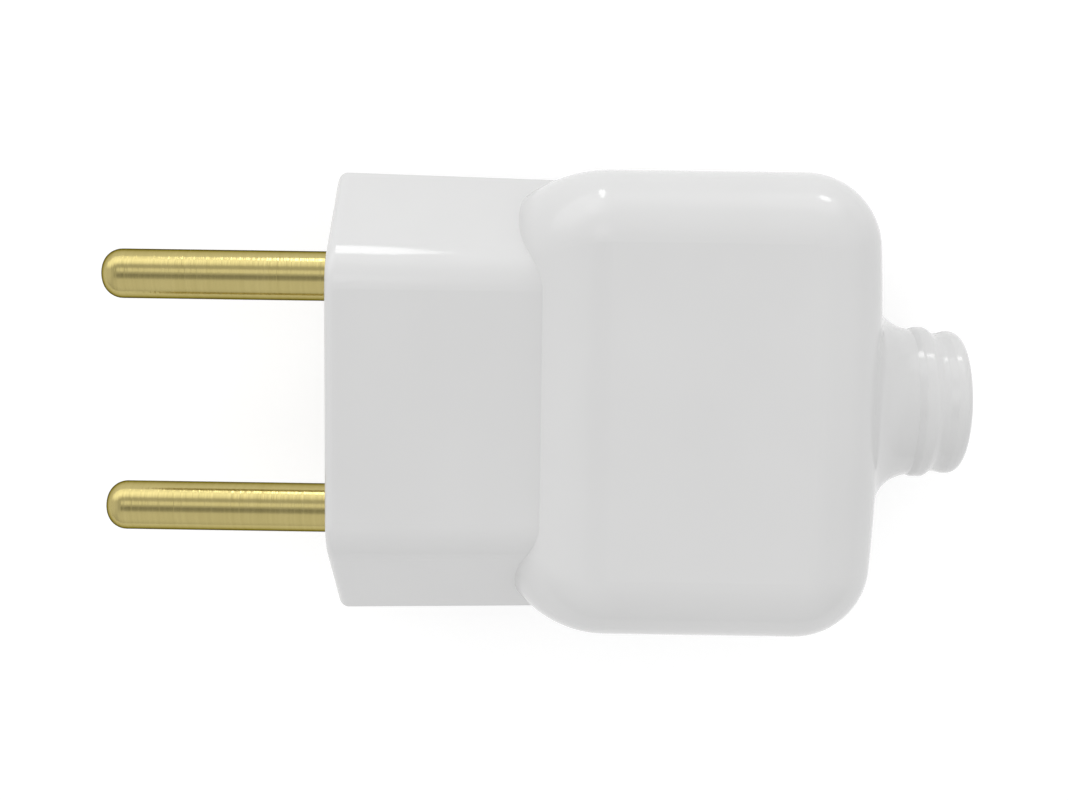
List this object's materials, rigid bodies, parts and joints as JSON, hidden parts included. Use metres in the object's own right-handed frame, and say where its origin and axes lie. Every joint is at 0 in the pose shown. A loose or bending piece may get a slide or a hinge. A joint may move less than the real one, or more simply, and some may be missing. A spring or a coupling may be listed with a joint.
{
  "type": "two-pin plug",
  "caption": "Rewirable mains plug with round brass pins, a hexagonal nose, a rounded grip and a ringed cord boss; it opens to wire the terminals and clamp the cord.",
  "frame": {"origin": "centre of the engagement face, midway between the pins, on the plane where the shells part", "axes": "+X from the pins to the cord end, +Y across the pins, +Z through the thickness, up as it lies"},
  "size_m": [0.0692, 0.0364, 0.0204],
  "materials": {
    "white_plastic": "glossy moulded thermoplastic",
    "clamp_plastic": "satin moulded nylon",
    "brass": "turned brass",
    "screw_steel": "zinc-plated steel"
  },
  "bodies": {
    "root": {"base_shell": "white_plastic", "cover_shell": "white_plastic", "pin_left": "brass", "pin_right": "brass", "cord_clamp": "clamp_plastic", "terminal_screws": "screw_steel", "clamp_screws": "screw_steel", "housing_screw": "screw_steel"}
  },
  "joints": []
}
